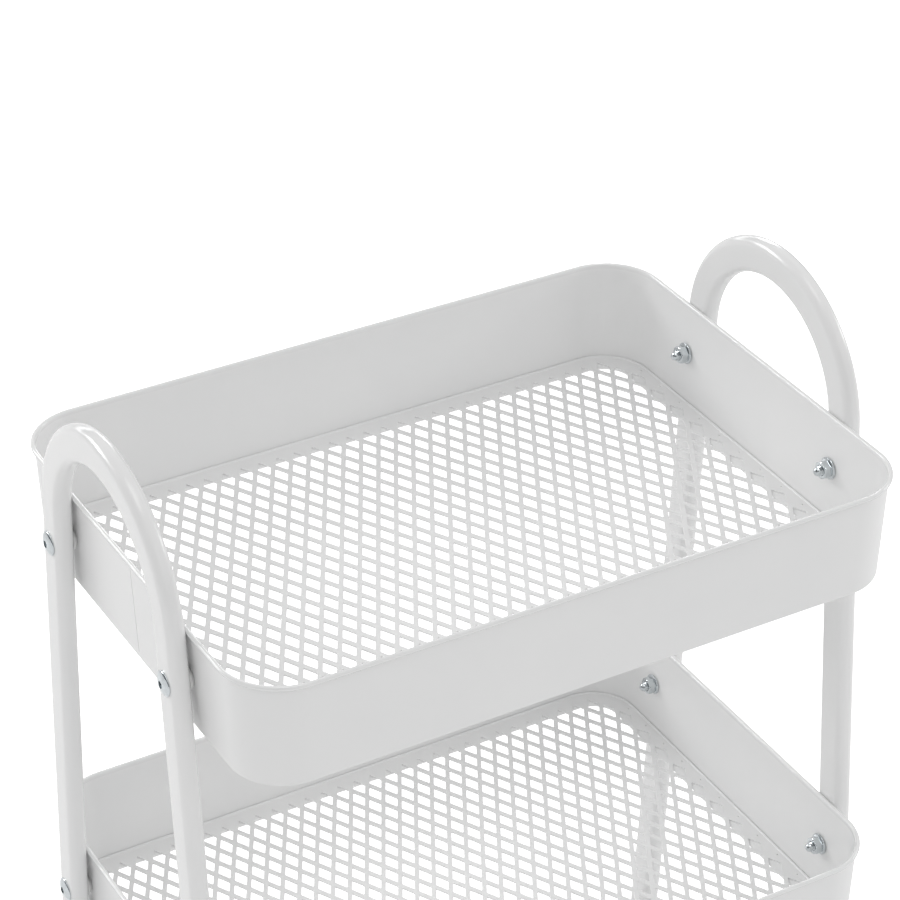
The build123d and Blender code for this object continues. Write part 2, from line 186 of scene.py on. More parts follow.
COAT = powder_coat("powder_coat", (0.835, 0.837, 0.837), (0.857, 0.857, 0.855), (0.30, 0.38))
COAT_RIM = powder_coat("powder_coat_rim", (0.835, 0.837, 0.837), (0.857, 0.857, 0.855), (0.09, 0.13))
COAT_TUBE = powder_coat("powder_coat_tube", (0.835, 0.837, 0.837), (0.857, 0.857, 0.855), (0.16, 0.21))
COAT_MESH = powder_coat("powder_coat_mesh", (0.835, 0.837, 0.837), (0.857, 0.857, 0.855), (0.28, 0.36))
ZINC = zinc("zinc_screws", (0.70, 0.74, 0.76), 0.08, 0.17)
ZINC_CASTER = zinc("zinc_caster", (0.62, 0.64, 0.66), 0.20, 0.34)
NYLON = moulded("white_nylon", (0.76, 0.76, 0.755), (0.79, 0.79, 0.785))
LEVER = moulded("grey_nylon", (0.085, 0.088, 0.092), (0.105, 0.108, 0.112))
TREAD = rubber("grey_tread", (0.135, 0.138, 0.142), (0.175, 0.178, 0.182))


# ------------------------------------------------------------------ mesh tools
def add(name, verts, faces, mat, body, nodes=(), slot="powder_coat", sharp=34.0, bevel=0.0):
    """Makes a piece from millimetre points, welded, with outward normals and sharp edges by angle."""
    me = bpy.data.meshes.new(name)
    me.from_pydata([(x * 0.001, y * 0.001, z * 0.001) for x, y, z in verts], [], faces)
    bm = bmesh.new()
    bm.from_mesh(me)
    bmesh.ops.remove_doubles(bm, verts=bm.verts, dist=2e-7)
    bmesh.ops.recalc_face_normals(bm, faces=bm.faces)
    if bevel:
        edges = [e for e in bm.edges if len(e.link_faces) == 2 and e.calc_face_angle(0) > math.radians(40)]
        bmesh.ops.bevel(bm, geom=edges, offset=bevel * 0.001, segments=2, profile=0.6, affect="EDGES", clamp_overlap=True)
    for f in bm.faces:
        f.smooth = True
    for e in bm.edges:
        e.smooth = len(e.link_faces) == 2 and e.calc_face_angle(0) < math.radians(sharp)
    bm.to_mesh(me)
    bm.free()
    me.materials.append(mat)
    ob = bpy.data.objects.new(name, me)
    scene.collection.objects.link(ob)
    if nodes:
        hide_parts(*nodes)
    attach(ob, body)
    return ob


def loft(rings, loop=False, cap0=False, cap1=False):
    """Quads between rings with the same number of points. A ring of one point closes to a tip."""
    verts, start, faces = [], [], []
    for r in rings:
        start.append(len(verts))
        verts += r
    pairs = list(zip(range(len(rings) - 1), range(1, len(rings))))
    if loop:
        pairs.append((len(rings) - 1, 0))
    for i, j in pairs:
        a, b, na, nb = start[i], start[j], len(rings[i]), len(rings[j])
        n = max(na, nb)
        for k in range(n):
            k2 = (k + 1) % n
            if na == 1:
                faces.append((a, b + k, b + k2))
            elif nb == 1:
                faces.append((a + k, b, a + k2))
            else:
                faces.append((a + k, b + k, b + k2, a + k2))
    if cap0:
        faces.append(tuple(range(start[0], start[0] + len(rings[0]))))
    if cap1:
        faces.append(tuple(reversed(range(start[-1], start[-1] + len(rings[-1])))))
    return verts, faces


def turned(profile, n=48, loop=False):
    """Revolves (radius, height) points about Z. A radius may be a function of the angle."""
    rings = []
    for r, h in profile:
        if not callable(r) and r < 1e-9:
            rings.append([(0.0, 0.0, h)])
            continue
        ring = []
        for k in range(n):
            a = 2 * math.pi * k / n
            rr = r(a) if callable(r) else r
            hh = h(rr) if callable(h) else h
            ring.append((rr * math.cos(a), rr * math.sin(a), hh))
        rings.append(ring)
    return loft(rings, loop)


def placed(shape, *matrices):
    """Copies of a shape, each carried by a matrix in millimetres, as one."""
    verts, faces = [], []
    for m in matrices:
        base = len(verts)
        verts += [tuple(m @ Vector(v)) for v in shape[0]]
        faces += [tuple(i + base for i in f) for f in shape[1]]
    return verts, faces


def joined(*shapes):
    return placed_each([(s, Matrix.Identity(4)) for s in shapes])


def placed_each(pairs):
    verts, faces = [], []
    for s, m in pairs:
        v, f = placed(s, m)
        base = len(verts)
        verts += v
        faces += [tuple(i + base for i in q) for q in f]
    return verts, faces


def T(x, y, z):
    return Matrix.Translation((x, y, z))


def R(deg, axis):
    return Matrix.Rotation(math.radians(deg), 4, axis)


def arc(cx, cy, r, a0, a1, n):
    """Points on an arc, angles in degrees, both ends included."""
    return [(cx + r * math.cos(math.radians(a0 + (a1 - a0) * i / n)), cy + r * math.sin(math.radians(a0 + (a1 - a0) * i / n))) for i in range(n + 1)]


def rounded_rect(w, h, r, n):
    pts = []
    for cx, cy, a in ((w / 2 - r, h / 2 - r, 0), (-w / 2 + r, h / 2 - r, 90), (-w / 2 + r, -h / 2 + r, 180), (w / 2 - r, -h / 2 + r, 270)):
        pts += arc(cx, cy, r, a, a + 90, n)
    return pts


# ------------------------------------------------------------------ basket walls
def wall_u(z, outer):
    top = -0.95 + (1.0 if outer else 0.0)
    foot = -2.5 - (0.0 if outer else 1.0)
    return top + (foot - top) / (-BASKET_H + 1.5) * (z + 1.5)


def wall_section():
    """(u, z) points round the sheet: up the inside, over the rolled rim, down the outside, round the foot and back under the flange."""
    s = []
    inner = [-64.9, -62.5, -62.3, -45.0, -30.0, -15.0, -5.2, -5.0, -3.0]
    s += [(wall_u(z, False), z) for z in inner]
    s += arc(0.55, -1.5, 1.5, 180, -72, 22)          # outside of the roll
    s += arc(0.55, -1.5, 0.75, -72, 168, 14)         # its hollow
    outer = [-3.2, -5.0, -5.2, -15.0, -30.0, -45.0, -62.3, -62.5, -64.2]
    s += [(wall_u(z, True), z) for z in outer]
    c = wall_u(-65.4, True) - 2.1
    s += arc(c, -65.4, 2.1, 0, -90, 8)              # foot's outside bend
    s += [(-10.0, -BASKET_H), (-16.6, -BASKET_H), (-16.8, -67.3), (-16.8, -66.75), (-16.55, -66.5), (-10.0, -66.5)]
    s += arc(c + 0.05, -65.4, 1.1, -90, -4, 6)      # and its inside
    return s


def around(sx0, sy0, corner_n=22, straight_n=10, extra=()):
    """Stations round the rim: corner centre, direction and the run's y for each. extra adds y stations on the -X side."""
    hx, hy = RIM_L / 2 - RIM_R, RIM_W / 2 - RIM_R
    out = []
    for i, (sx, sy) in enumerate(((1, 1), (-1, 1), (-1, -1), (1, -1))):
        for k in range(corner_n + 1):
            a = math.pi / 2 * (i + k / corner_n)
            out.append((sx * hx, sy * hy, math.cos(a), math.sin(a), 0.0))
        a = math.pi / 2 * (i + 1)
        nx, ny = round(math.cos(a)), round(math.sin(a))
        nxt = ((1, 1), (-1, 1), (-1, -1), (1, -1))[(i + 1) % 4]
        stops = [(j / straight_n, 0.0) for j in range(1, straight_n)]
        if nx == -1:
            for y, depth in extra:
                stops.append(((hy - y) / (2 * hy), depth))
            stops.sort()
        for t, depth in stops:
            out.append((sx * hx + t * (nxt[0] - sx) * hx, sy * hy + t * (nxt[1] - sy) * hy, nx, ny, depth))
    return out


SEAM_Y = -6.0
SEAM = [(SEAM_Y + 0.50, 0.0), (SEAM_Y + 0.30, 0.85), (SEAM_Y, 1.0), (SEAM_Y - 0.30, 0.85), (SEAM_Y - 0.50, 0.0)]


def wall(rim):
    sec = wall_section()
    rings = []
    for cx, cy, dx, dy, depth in around(1, 1, extra=SEAM):
        ring = []
        for k, (u, z) in enumerate(sec):
            if depth and -62.4 <= z <= -5.1 and u > -6:
                # butt-welded seam: a fine groove in both faces
                side = 1 if u > (wall_u(z, True) + wall_u(z, False)) / 2 else -1
                u = u - side * (0.60 if side > 0 else 0.2) * depth
            ring.append((cx + (RIM_R + u) * dx, cy + (RIM_R + u) * dy, rim + z))
        rings.append(ring)
    return loft(rings, loop=True)


for tier, rim in TIERS.items():
    ob = add(f"{tier}_wall_sheet", *wall(rim), COAT, "cart", [f"{tier}_basket_wall"], sharp=50)
    # the coat runs smooth and glossier over the tight roll of the rim
    ob.data.materials.append(COAT_RIM)
    for face in ob.data.polygons:
        if face.center.z > (rim - 3.3) * 0.001:
            face.material_index = 1

# ------------------------------------------------------------------ mesh floors
FLOOR_T, FLOOR_IN = 0.8, 4.0
SX, LY, STRAND, X0, Y0, MARGIN = 12.05, 22.2, 2.7, 0.9, -1.0, 3.2
HALF_X, HALF_Y, FLOOR_R = RIM_L / 2 - FLOOR_IN, RIM_W / 2 - FLOOR_IN, RIM_R - FLOOR_IN
SHARE = 1.0 - STRAND * math.hypot(1 / SX, 1 / LY)
OX, OY = SX / 2 * SHARE, LY / 2 * SHARE


def inside(x, y, m):
    ax, ay = abs(x), abs(y)
    if ax > HALF_X - m or ay > HALF_Y - m:
        return False
    cx, cy = HALF_X - FLOOR_R, HALF_Y - FLOOR_R
    return not (ax > cx and ay > cy) or math.hypot(ax - cx, ay - cy) <= FLOOR_R - m


def diamond(cx, cy, k):
    """One opening, its corners rounded, grown by k about its middle. The slit twists the two ways of strand unequally, so one is broader."""
    edge = math.hypot(OX, OY)
    a, b = OX * OY / edge - 0.30, OX * OY / edge - 0.12
    tx, ty = ((a + b) * edge / (2 * OY), (a - b) * edge / (2 * OX)), ((a - b) * edge / (2 * OY), (a + b) * edge / (2 * OX))
    tips = [tx, ty, (-tx[0], -tx[1]), (-ty[0], -ty[1])]
    pts = []
    for i in range(4):
        p, a, b = tips[i], tips[i - 1], tips[(i + 1) % 4]
        cut = (0.5 if i % 2 == 0 else 0.8) / edge
        s = (p[0] + (a[0] - p[0]) * cut, p[1] + (a[1] - p[1]) * cut)
        e = (p[0] + (b[0] - p[0]) * cut, p[1] + (b[1] - p[1]) * cut)
        for t in (0.0, 0.5, 1.0):
            w0, w1, w2 = (1 - t) ** 2, 2 * t * (1 - t), t * t
            pts.append((cx + k * (w0 * s[0] + w1 * p[0] + w2 * e[0]), cy + k * (w0 * s[1] + w1 * p[1] + w2 * e[1])))
    return pts


def floor_mesh():
    """The sheet: faces with openings, eased edges, and an edge turned up against the wall. z is from the sheet's underside."""
    apothem = OX * OY / math.hypot(OX, OY)
    grow = (apothem + 0.13) / apothem
    cells = []
    for i in range(-40, 41):
        for j in range(-20, 21):
            if (i + j) % 2:
                continue
            cx, cy = X0 + i * SX / 2, Y0 + j * LY / 2
            if all(inside(cx + px, cy + py, MARGIN) for px, py in ((OX, 0), (0, OY), (-OX, 0), (0, -OY))):
                cells.append((cx, cy))
    rings_in = [(diamond(cx, cy, grow), diamond(cx, cy, 1.0)) for cx, cy in cells]
    # the tips of a further row, pinched nearly shut where the sheet meets the wall
    k = -6
    while k <= 6:
        for sx in (-1, 1):
            y = 14.2 + 22.2 * k - 7.8
            if abs(y) < HALF_Y - FLOOR_R + 4:
                x = sx * 200.4
                pin = lambda r: [(x + r * math.cos(a * math.pi / 4) * 0.8, y + r * math.sin(a * math.pi / 4) * 1.2) for a in range(8)]
                rings_in.append((pin(0.62), pin(0.5)))
        k += 1
    inset = 1.3
    edge = rounded_rect(2 * (HALF_X - inset), 2 * (HALF_Y - inset), FLOOR_R - inset, 16)
    pts = list(edge)
    polys = [list(range(len(edge)))]
    for outer, _ in rings_in:
        polys.append(list(range(len(pts), len(pts) + len(outer))))
        pts += outer
    v, e, f, ov, oe, of_ = delaunay_2d_cdt([Vector(p) for p in pts], [], polys, 1, 1e-6, True)
    where = {}
    for i, src in enumerate(ov):
        for s in src:
            where[s] = i
    tris = [t for t, src in zip(f, of_) if list(src) == [0]]
    verts, faces = [], []
    nv = len(v)
    ease = 0.13
    verts += [(p.x, p.y, FLOOR_T) for p in v]
    verts += [(p.x, p.y, 0.0) for p in v]
    faces += [tuple(t) for t in tris]
    faces += [tuple(i + nv for i in reversed(t)) for t in tris]
    for poly, (outer, inner) in zip(polys[1:], rings_in):
        top = [where[i] for i in poly]
        bottom = [i + nv for i in top]
        n = len(inner)
        a = len(verts)
        verts += [(x, y, FLOOR_T - ease) for x, y in inner]
        b = len(verts)
        # strands clear of the flange sag a little below the sheet's underside
        low = -0.3 if max(abs(x) for x, _ in outer) < 190.0 and max(abs(y) for _, y in outer) < 134.0 else 0.0
        verts += [(x, y, ease + low) for x, y in inner]
        for i in bottom:
            verts[i] = (verts[i][0], verts[i][1], low)
        for q in range(n):
            r = (q + 1) % n
            faces.append((top[q], top[r], a + r, a + q))
            faces.append((a + q, a + r, b + r, b + q))
            faces.append((b + q, b + r, bottom[r], bottom[q]))
    # the turned-up edge
    lip = [(0.20, FLOOR_T), (0.50, FLOOR_T + 0.06), (0.76, FLOOR_T + 0.24), (0.92, FLOOR_T + 0.52), (1.00, FLOOR_T + 0.84), (1.10, FLOOR_T + 1.04),
           (1.28, FLOOR_T + 1.14), (1.48, FLOOR_T + 1.10), (1.62, FLOOR_T + 0.96), (1.66, FLOOR_T + 0.75), (1.64, 0.5), (1.50, 0.14), (1.3, 0.0)]
    start = [where[i] for i in polys[0]]
    prev = start
    n = len(edge)
    for out, z in lip:
        ring = rounded_rect(2 * (HALF_X - inset + out), 2 * (HALF_Y - inset + out), FLOOR_R - inset + out, 16)
        a = len(verts)
        verts += [(x, y, z) for x, y in ring]
        cur = list(range(a, a + n))
        for q in range(n):
            r = (q + 1) % n
            faces.append((prev[q], cur[q], cur[r], prev[r]))
        prev = cur
    last = [i + nv for i in start]
    for q in range(n):
        r = (q + 1) % n
        faces.append((prev[q], last[q], last[r], prev[r]))
    return verts, faces


FLOOR = floor_mesh()
for tier, rim in TIERS.items():
    add(f"{tier}_floor_mesh", *placed(FLOOR, T(0, 0, rim - BASKET_H + 1.0)), COAT_MESH, "cart", [f"{tier}_basket_floor"], sharp=32)


# ------------------------------------------------------------------ end frames
def frame_stations():
    """(y, z, tangent y, tangent z) from one foot over the handle to the other."""
    t = KNEE_R * math.tan(THETA / 2)
    s, c = math.sin(THETA), math.cos(THETA)
    half = [(FOOT_Y, LEG_END, 0, 1), (FOOT_Y, LEG_END + 9, 0, 1), (FOOT_Y, KNEE_Z - t, 0, 1)]
    for i in range(1, 7):
        a = THETA * i / 6
        half.append((FOOT_Y - KNEE_R * (1 - math.cos(a)), KNEE_Z - t + KNEE_R * math.sin(a), -math.sin(a), math.cos(a)))
    top = (ARCH_R * c, ARCH_Z + ARCH_R * s)
    y0, z0 = half[-1][:2]
    for i in range(1, 15):
        half.append((y0 + (top[0] - y0) * i / 15, z0 + (top[1] - z0) * i / 15, -s, c))
    n = 40
    for i in range(n + 1):
        a = THETA + (math.pi / 2 - THETA) * i / n
        half.append((ARCH_R * math.cos(a), ARCH_Z + ARCH_R * math.sin(a), -math.sin(a), math.cos(a)))
    return half + [(-y, z, ty, -tz) for y, z, ty, tz in reversed(half[:-1])]


def end_frame(x):
    st = frame_stations()
    sec = rounded_rect(TUBE_W, TUBE_T, TUBE_R, 9)
    inn = rounded_rect(TUBE_W - 2 * TUBE_WALL, TUBE_T - 2 * TUBE_WALL, TUBE_R - TUBE_WALL, 9)
    lip = rounded_rect(TUBE_W - 0.5, TUBE_T - 0.5, TUBE_R - 0.25, 9)

    def ring(section, y, z, ty, tz, along=0.0):
        ny, nz = tz, -ty
        return [(x + b, y + a * ny + along * ty, z + a * nz + along * tz) for a, b in section]

    first, last = st[0], st[-1]
    rings = [ring(inn, *first, 24.0), ring(inn, *first), ring(lip, *first), ring(sec, *first, 0.3)]
    rings += [ring(sec, *s) for s in st[1:-1]]
    rings += [ring(sec, *last, -0.3), ring(lip, *last), ring(inn, *last), ring(inn, *last, -24.0)]
    return loft(rings, cap0=True, cap1=True)


for name, sx in (("left", -1), ("right", 1)):
    add(f"{name}_frame_tube", *end_frame(sx * FRAME_X), COAT_TUBE, "cart", [f"{name}_end_frame"], sharp=40)


# ------------------------------------------------------------------ screws, spacers
def hexagon(af):
    return lambda a: af / 2 / math.cos(((a + math.pi / 6) % (math.pi / 3)) - math.pi / 6)


def screw(face):
    """Mushroom-head socket screw, head up, its bearing face at z = 0. The free end past the nut is threaded and rounded."""
    dome_r = (7.4**2 + 2.1**2) / 4.2
    dome = lambda r: 2.8 - dome_r + math.sqrt(dome_r**2 - r * r)
    hx = hexagon(4.0)
    length = LEG_OUT - face
    rows = [(0.0, 0.35), (lambda a: hx(a) * 0.55, 0.45), (hx, 0.62), (hx, dome(2.2) - 0.28), (lambda a: hx(a) + 0.24, lambda r: dome(r) - 0.05),
            (lambda a: 0.5 * hx(a) + 0.5 * 2.3 + 0.55, dome), (3.7, dome), (4.7, dome), (5.6, dome), (6.4, dome), (6.95, dome),
            (7.22, dome(7.22) - 0.03), (7.36, 0.62), (7.4, 0.42), (7.38, 0.2), (7.25, 0.04), (7.1, 0.0), (3.0, 0.0), (3.0, -length - 4.6)]
    head = turned(rows, 72)
    # thread and rounded end
    n, rings = 72, []
    z0, z1 = -length - 4.6, -length - 6.0 - 1.7
    steps = 34
    for i in range(steps + 1):
        z = z0 + (z1 - z0) * i / steps
        ring = []
        for k in range(n):
            a = 2 * math.pi * k / n
            ph = (z / 1.0 - k / n) % 1.0
            tri = min(1.0, max(0.0, 1.35 * abs(2 * ph - 1) - 0.12))
            fade = min(1.0, (steps - i) / 5, i / 3 + 0.0)
            r = 2.98 - 0.42 * tri * fade - (0.18 if i == steps else 0.0)
            ring.append((r * math.cos(a), r * math.sin(a), z))
        rings.append(ring)
    end = z1
    for i in range(1, 9):
        ph = math.pi / 2 * i / 9
        rings.append([(2.8 * math.cos(ph) * math.cos(2 * math.pi * k / n), 2.8 * math.cos(ph) * math.sin(2 * math.pi * k / n), end - 2.68 * math.sin(ph)) for k in range(n)])
    rings.append([(0.0, 0.0, end - 2.68)])
    return joined(head, loft(rings))


def flange_nut():
    """Its bearing face at z = 0, hexagon towards -z."""
    hx = hexagon(10.0)
    cap = lambda lim: (lambda a: min(hx(a), lim))
    rows = [(3.06, 0.0), (6.4, 0.0), (6.68, -0.08), (6.8, -0.28), (6.8, -0.62), (6.7, -0.86), (6.45, -1.02), (6.12, -1.2),
            (cap(5.86), -1.36), (cap(5.86), -5.05), (cap(5.6), -5.42), (cap(5.3), -5.72), (cap(5.02), -5.92), (4.78, -6.0), (3.55, -6.0), (3.2, -5.8), (3.06, -5.5)]
    return turned(rows, 72, loop=True)


def spacer(face_x):
    """Ring along X between the sloping wall and the leg, centred on the screw, tapering towards the wall."""
    out, inn, n = 8.0, 3.25, 64
    slope = (wall_u(-20, True) - wall_u(-40, True)) / 20
    rings = []
    for r, end, off in ((inn, 0, 0.0), (5.6, 0, 0.0), (6.0, 0, 0.3), (out, 1, -0.9), (out, 1, -0.45), (out - 0.4, 1, 0.0), (inn, 1, 0.0)):
        ring = []
        for k in range(n):
            a = 2 * math.pi * k / n
            y, z = r * math.cos(a), r * math.sin(a)
            x = (RIM_L / 2 + wall_u(-SCREW_DROP + z, True) + 0.03) if end == 0 else LEG_IN
            ring.append((x + off, y, z))
        rings.append(ring)
    return loft(rings, loop=True)


NUT, SPACER = flange_nut(), spacer(0)
OUT = R(90, "Y")                                          # local +z to +X
for tier, rim in TIERS.items():
    z = rim - SCREW_DROP
    y = LEG_Y + SPLAY * (TIERS["top"] - SCREW_DROP - z)
    bolt = screw(NUT_FACE[tier])
    bolts, nuts, rings = [], [], []
    for i, (sx, sy) in enumerate(((-1, -1), (1, -1), (-1, 1), (1, 1))):
        turn = Matrix.Identity(4) if sx > 0 else R(180, "Z")
        at = T(0, sy * y, z) @ turn
        bolts.append(at @ T(LEG_OUT, 0, 0) @ OUT @ R((37, 8, 21, 52)[i], "Z"))
        nuts.append(at @ T(NUT_FACE[tier], 0, 0) @ OUT @ R((12, 25, 3, 40)[i], "Z"))
        rings.append(at)
    add(f"{tier}_socket_screws", *placed(bolt, *bolts), ZINC, "cart", [f"{tier}_bolts"], "zinc", sharp=30)
    add(f"{tier}_hex_flange_nuts", *placed(NUT, *nuts), ZINC, "cart", [f"{tier}_flange_nuts"], "zinc", sharp=24)
    add(f"{tier}_spacer_rings", *placed(SPACER, *rings), NYLON, "cart", [f"{tier}_spacers"], "white_plastic", sharp=38)

# ------------------------------------------------------------------ casters
TRAIL, AXLE_Z, FORK_IN, FORK_T = 18.0, 25.0, 10.0, 2.0
PIN = (36.0, 52.5)


def plate(outline, t0, t1, axis="y"):
    """A flat plate from a closed outline in the XZ plane (or XY for axis z), between t0 and t1."""
    if axis == "y":
        rings = [[(x, t0, z) for x, z in outline], [(x, t1, z) for x, z in outline]]
    else:
        rings = [[(x, y, t0) for x, y in outline], [(x, y, t1) for x, y in outline]]
    return loft(rings, cap0=True, cap1=True)


def round_corners(points, radii, n=5):
    """Rounds a polygon's corners; radii one for all or one each."""
    out = []
    m = len(points)
    for i in range(m):
        p, a, b = Vector(points[i]), Vector(points[i - 1]), Vector(points[(i + 1) % m])
        r = radii if isinstance(radii, (int, float)) else radii[i]
        if r <= 0:
            out.append(tuple(p))
            continue
        da, db = (a - p).normalized(), (b - p).normalized()
        half = math.acos(max(-1, min(1, da.dot(db)))) / 2
        cut = min(r / math.tan(half), 0.48 * (a - p).length, 0.48 * (b - p).length)
        rr = cut * math.tan(half)
        c = p + (da + db).normalized() * (rr / math.sin(half))
        s, e = p + da * cut, p + db * cut
        a0 = math.atan2(s.y - c.y, s.x - c.x)
        a1 = math.atan2(e.y - c.y, e.x - c.x)
        d = (a1 - a0 + math.pi) % (2 * math.pi) - math.pi
        out += [(c.x + rr * math.cos(a0 + d * k / n), c.y + rr * math.sin(a0 + d * k / n)) for k in range(n + 1)]
    return out


def caster_fork():
    """Pressed fork: one strip bent over both sides of the wheel, with a bend radius and a rounded foot about the axle."""
    t, e, rb = FORK_T, FORK_IN + FORK_T, 3.2
    zt, zb = 56.0, 17.5

    def span(z):
        """Cheek's front and back edge at height z."""
        def lerp(p, q):
            return p[0] + (q[0] - p[0]) * (z - p[1]) / (q[1] - p[1])
        if z >= 50.0:
            lo = -9.0
        elif z > 27.5:
            lo = lerp((-9.0, 50.0), (10.9, 27.5))
        else:
            lo = TRAIL - math.sqrt(max(0.0, 7.5**2 - (z - AXLE_Z) ** 2))
        if z >= 50.5:
            hi = 40.3
        elif z > 27.5:
            hi = lerp((40.3, 50.5), (25.1, 27.5))
        else:
            hi = TRAIL + math.sqrt(max(0.0, 7.5**2 - (z - AXLE_Z) ** 2))
        return lo, hi

    rows = []   # (outer point (y, z), normal (y, z), x from, x to)
    for k in range(9):
        y = (e - rb) * k / 8
        lo = -math.sqrt(15.0**2 - y * y)
        rows.append(((y, zt), (0, 1), lo, 23.5))
    for k in range(1, 9):
        a = math.pi / 2 * k / 8
        y, z = e - rb + rb * math.sin(a), zt - rb + rb * math.cos(a)
        f = k / 8
        f2 = f * f * (3 - 2 * f)
        lo0 = -math.sqrt(15.0**2 - (e - rb) ** 2)
        rows.append(((y, z), (math.sin(a), math.cos(a)), lo0 + (-9.0 - lo0) * f2, 23.5 + (38.6 - 23.5) * f2))
    for z in (52.2, 51.3, 50.3, 48.0, 44.0, 40.0, 36.0, 32.0, 29.0, 27.5, 25.8, 24.0, 22.2, 20.6, 19.2, 18.2, 17.65):
        lo, hi = span(z)
        rows.append(((e, z), (1, 0), lo, min(hi, 38.6 + (52.8 - z) * 1.2) if z > 50 else hi))
    nx = 14
    full = [((-p[0], p[1]), (-q[0], q[1]), a, b) for p, q, a, b in reversed(rows[1:])] + rows
    outer, inner = [], []
    for (y, z), (ny, nz), a, b in full:
        outer.append([(a + (b - a) * i / nx, y, z) for i in range(nx + 1)])
        inner.append([(a + (b - a) * i / nx, y - ny * t, z - nz * t) for i in range(nx + 1)])
    # a closed tube of section (outer row, then inner row back) carried from one foot to the other
    rings = [o + list(reversed(i)) for o, i in zip(outer, inner)]
    return loft(rings, cap0=True, cap1=True)


def bearing_cup():
    """Pressed cup over the ball ring: rolled lower edge, shoulder, and a dished top round the stem."""
    rows = [(12.2, 56.05), (12.9, 56.15), (13.0, 56.45), (12.95, 56.9), (12.55, 57.2), (12.35, 57.6), (12.3, 58.9)]
    rows += [(r, z) for r, z in arc(11.0, 59.2, 1.3, 0, 90, 6)]
    rows += [(9.6, 60.5), (9.0, 60.35), (8.2, 60.1), (7.6, 60.1), (4.7, 60.1), (4.7, 59.3), (9.4, 59.3), (10.6, 59.0), (11.2, 58.2), (11.25, 56.6), (11.5, 56.1)]
    return turned(rows, 72, loop=True)


def caster_stem():
    rows = [(0.0, 51.25), (3.6, 51.3), (5.4, 51.55), (6.3, 52.1), (6.5, 52.7), (6.4, 53.15), (4.0, 53.2), (4.0, 60.95), (7.0, 61.0), (7.4, 61.15), (7.5, 61.4),
            (7.5, 62.6), (7.35, 62.88), (7.0, 63.0), (3.0, 63.0), (3.0, 82.4), (2.5, 83.0), (0.0, 83.0)]
    return turned(rows, 64)


def leg_plug():
    """Moulded insert: a collar of the tube's outline, eased all round, over a plain body set in from the collar."""
    rings = []
    for inset, z in ((6.0, 63.0), (0.7, 63.0), (0.25, 63.12), (0.0, 63.5), (0.0, 65.6), (0.15, 65.85), (0.4, 65.95), (1.3, 65.98), (1.3, 85.4), (1.8, 86.0)):
        w, h = TUBE_W - 2 * inset, TUBE_T - 2 * inset
        if inset == 6.0:
            rings.append([(3.05 * math.cos(math.atan2(y, x)), 3.05 * math.sin(math.atan2(y, x)), z) for x, y in rounded_rect(TUBE_W, TUBE_T, TUBE_R, 9)])
            continue
        rings.append([(x, y, z) for x, y in rounded_rect(w, h, max(0.6, TUBE_R - inset), 9)])
    # a blind hole for the stem
    base = rings[0]
    hole = [(x, y, 84.5) for x, y, _ in base]
    return loft([hole] + rings, cap0=True, cap1=True)


def wheel_hub():
    """Dished hub with ribs between boss and rim, both sides."""
    w = 9.0
    rows = [(3.05, w + 0.55), (3.25, w + 0.7), (5.6, w + 0.7), (6.0, w + 0.35), (6.15, 3.6), (6.7, 3.05), (13.4, 3.05), (13.9, 3.5), (14.3, w - 0.35), (14.7, w - 0.02), (16.6, w - 0.02), (17.0, w - 0.4)]
    prof = rows + [(r, -z) for r, z in reversed(rows)]
    body = turned(prof, 72, loop=True)
    ribs = []
    for k in range(6):
        for s in (1, -1):
            o = [(5.9, 3.0), (14.2, 3.0), (14.2, 6.8), (13.0, 7.3), (7.4, 7.3), (5.9, 8.0)]
            rib = plate([(x, s * z) for x, z in o], -0.75, 0.75)
            ribs.append((rib, R(60 * k, "Z")))
    return placed_each([(body, Matrix.Identity(4))] + ribs)


def tyre():
    """Tread with two fine grooves and rounded shoulders."""
    w, r0, r1 = 9.0, 17.05, 25.0
    half = [(r0, w - 0.3), (r0 + 0.35, w), (19.4, w), (20.0, w - 0.12), (21.6, w - 0.3), (22.8, w - 0.75), (23.8, w - 1.6), (24.45, w - 2.7), (24.78, w - 3.7),
            (24.86, 4.15), (24.55, 3.95), (24.5, 3.6), (24.88, 3.4), (24.96, 2.0), (25.0, 0.6), (25.0, 0.0)]
    prof = half + [(r, -z) for r, z in reversed(half[:-1])]
    return turned(prof, 112, loop=True)


def axle():
    e = 12.0
    half = [(3.0, 0.0), (3.0, e - 0.02), (4.7, e), (5.0, e + 0.25), (4.95, e + 0.7), (4.3, e + 1.2), (3.0, e + 1.5), (1.6, e + 1.6), (1.2, e + 1.25), (0.0, e + 1.1)]
    prof = [(r, -z) for r, z in reversed(half)] + half[1:]
    return turned(prof, 48)


def lever_pin():
    e = 12.0
    half = [(1.5, 0.0), (1.5, e), (2.3, e), (2.5, e + 0.2), (2.4, e + 0.6), (1.7, e + 0.92), (0.0, e + 1.0)]
    prof = [(r, -z) for r, z in reversed(half)] + half[1:]
    return turned(prof, 32)


